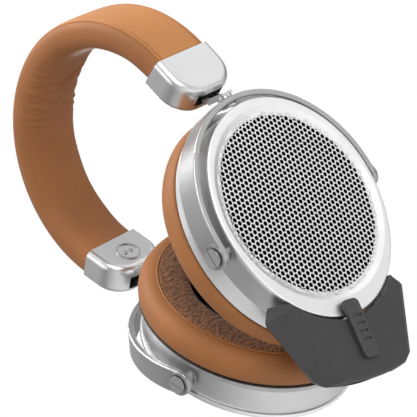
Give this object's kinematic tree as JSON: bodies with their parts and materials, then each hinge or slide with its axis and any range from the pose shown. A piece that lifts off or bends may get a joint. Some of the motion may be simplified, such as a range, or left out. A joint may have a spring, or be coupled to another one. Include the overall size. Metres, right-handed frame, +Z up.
{
  "type": "over-ear headphones",
  "caption": "Open-back over-ear headphones: padded leather headband, sliding end caps, swivelling C-shaped yokes, tilting egg-shaped cups with mesh backs, and a clip-on wireless unit.",
  "frame": {"origin": "contact point on the underside of the headband cushion at the crown of the arch, on the middle plane", "axes": "+Z up, +X towards the wearer's left cup, -Y the way the wearer faces"},
  "size_m": [0.1296, 0.108, 0.217],
  "materials": {
    "band_leather": "soft tan, fine grain",
    "strip_leather": "smooth light tan, satin",
    "pad_leather": "soft tan, gathered seams",
    "pad_fabric": "dark brown, perforated weave",
    "foam": "soft foam",
    "spring_steel": "plain spring steel",
    "cap_metal": "satin silver",
    "mark_metal": "satin silver",
    "slider_steel": "polished steel",
    "yoke_metal": "satin silver",
    "cup_metal": "fine blasted silver",
    "bezel_metal": "satin silver",
    "grille_metal": "light silver mesh",
    "dust_cloth": "black mesh cloth",
    "black_plastic": "matte black",
    "bush_plastic": "matte black",
    "magnet": "dark plated",
    "film": "thin metallised film",
    "screw_steel": "turned steel",
    "unit_plastic": "fine textured dark grey",
    "unit_bar": "fine textured dark grey",
    "unit_trim": "smooth black",
    "plug_metal": "gold plated",
    "battery": "foil wrapped",
    "circuit_board": "green board",
    "light_lens": "clear lens"
  },
  "bodies": {
    "headband": {"band_spring": "spring_steel", "headband_cover": "band_leather", "headband_foam": "foam", "headband_top_pad": "foam", "headband_top_strip": "strip_leather", "left_end_cap": "cap_metal", "left_side_mark": "mark_metal", "left_slider_guide": "black_plastic", "right_end_cap": "cap_metal", "right_side_mark": "mark_metal", "right_slider_guide": "black_plastic"},
    "left_slider": {"left_slider": "slider_steel"},
    "left_yoke": {"left_yoke": "yoke_metal", "left_pivot_bushes": "bush_plastic"},
    "left_cup": {"left_cup_housing": "cup_metal", "left_bezel_ring": "bezel_metal", "left_grille": "grille_metal", "left_dust_cloth": "dust_cloth", "left_driver_frame": "black_plastic", "left_magnet_bars": "magnet", "left_diaphragm": "film", "left_baffle": "black_plastic", "left_baffle_screws": "screw_steel", "left_pad_ring": "black_plastic", "left_ear_pad": "pad_leather", "left_pad_panel": "pad_fabric", "left_pivot_screws": "screw_steel", "left_jack_socket": "black_plastic"},
    "right_slider": {"right_slider": "slider_steel"},
    "right_yoke": {"right_yoke": "yoke_metal", "right_pivot_bushes": "bush_plastic"},
    "right_cup": {"right_cup_housing": "cup_metal", "right_bezel_ring": "bezel_metal", "right_grille": "grille_metal", "right_dust_cloth": "dust_cloth", "right_driver_frame": "black_plastic", "right_magnet_bars": "magnet", "right_diaphragm": "film", "right_baffle": "black_plastic", "right_baffle_screws": "screw_steel", "right_pad_ring": "black_plastic", "right_ear_pad": "pad_leather", "right_pad_panel": "pad_fabric", "right_pivot_screws": "screw_steel"},
    "unit": {"unit_front_shell": "unit_plastic", "unit_back_shell": "unit_plastic", "unit_clip_bar": "unit_bar", "unit_plug": "plug_metal", "unit_battery": "battery", "unit_board": "circuit_board", "unit_end_plate": "unit_trim", "unit_light": "light_lens"},
    "unit_button": {"unit_button": "unit_trim"}
  },
  "joints": [
    {"name": "left_height", "type": "slide", "parent": "headband", "child": "left_slider", "axis": [-0.1616, 0, -0.9869], "range_m": [0, 0.02]},
    {"name": "left_swivel", "type": "hinge", "parent": "left_slider", "child": "left_yoke", "pos_m": [0.0589, 0, -0.08235], "axis": [0.4179, 0, 0.9085], "range_deg": [-10, 10]},
    {"name": "left_tilt", "type": "hinge", "parent": "left_yoke", "child": "left_cup", "pos_m": [0.03604, 0, -0.13204], "axis": [0.038, -0.9991, -0.0175], "range_deg": [0, 20]},
    {"name": "right_height", "type": "slide", "parent": "headband", "child": "right_slider", "axis": [0.1616, 0, -0.9869], "range_m": [-0.0027, 0.0173]},
    {"name": "right_swivel", "type": "hinge", "parent": "right_slider", "child": "right_yoke", "pos_m": [-0.05846, 0, -0.08501], "axis": [-0.4172, -0.0576, 0.907], "range_deg": [-10, 10]},
    {"name": "right_tilt", "type": "hinge", "parent": "right_yoke", "child": "right_cup", "pos_m": [-0.03564, 0.00315, -0.13463], "axis": [-0.0098, 0.9982, 0.0589], "range_deg": [0, 15]},
    {"name": "unit_unplug", "type": "slide", "parent": "left_cup", "child": "unit", "axis": [-0.4029, -0.1906, -0.8952], "range_m": [0, 0.02]},
    {"name": "unit_button_press", "type": "slide", "parent": "unit", "child": "unit_button", "axis": [0.9077, 0.0419, -0.4175], "range_m": [0, 0.0004], "stiffness_N_per_m": 1000, "springref_m": -0.0004}
  ]
}
